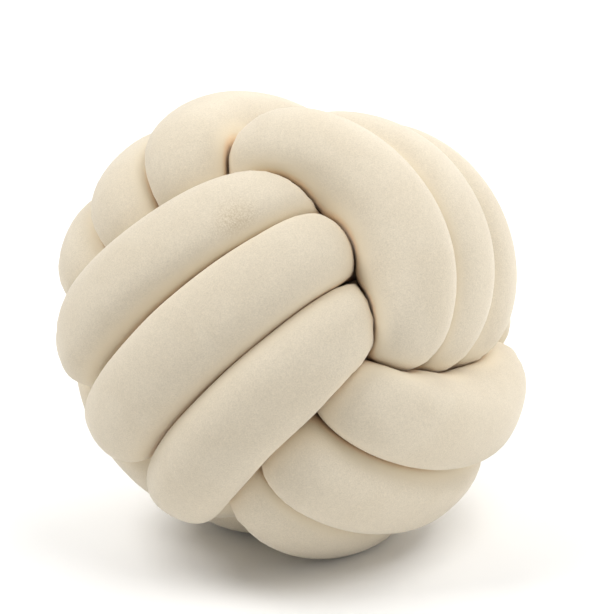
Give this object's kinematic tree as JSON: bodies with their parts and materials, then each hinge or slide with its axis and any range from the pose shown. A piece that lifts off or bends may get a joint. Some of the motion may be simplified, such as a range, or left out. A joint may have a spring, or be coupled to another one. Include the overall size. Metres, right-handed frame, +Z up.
{
  "type": "knot cushion",
  "caption": "Round knot cushion: one long stuffed plush tube wound into a ball of interlaced strands, with a small flat spot to rest on.",
  "frame": {"origin": "on the surface it rests on, under the middle of the ball's box", "axes": "+Z up from the flat spot; -Y is the side it is mostly seen from; +X to the right seen from there"},
  "size_m": [0.3466, 0.3574, 0.3303],
  "materials": {
    "plush": "brushed short-pile plush, matt cream"
  },
  "bodies": {
    "root": {"knotted_tube": "plush"}
  },
  "joints": []
}
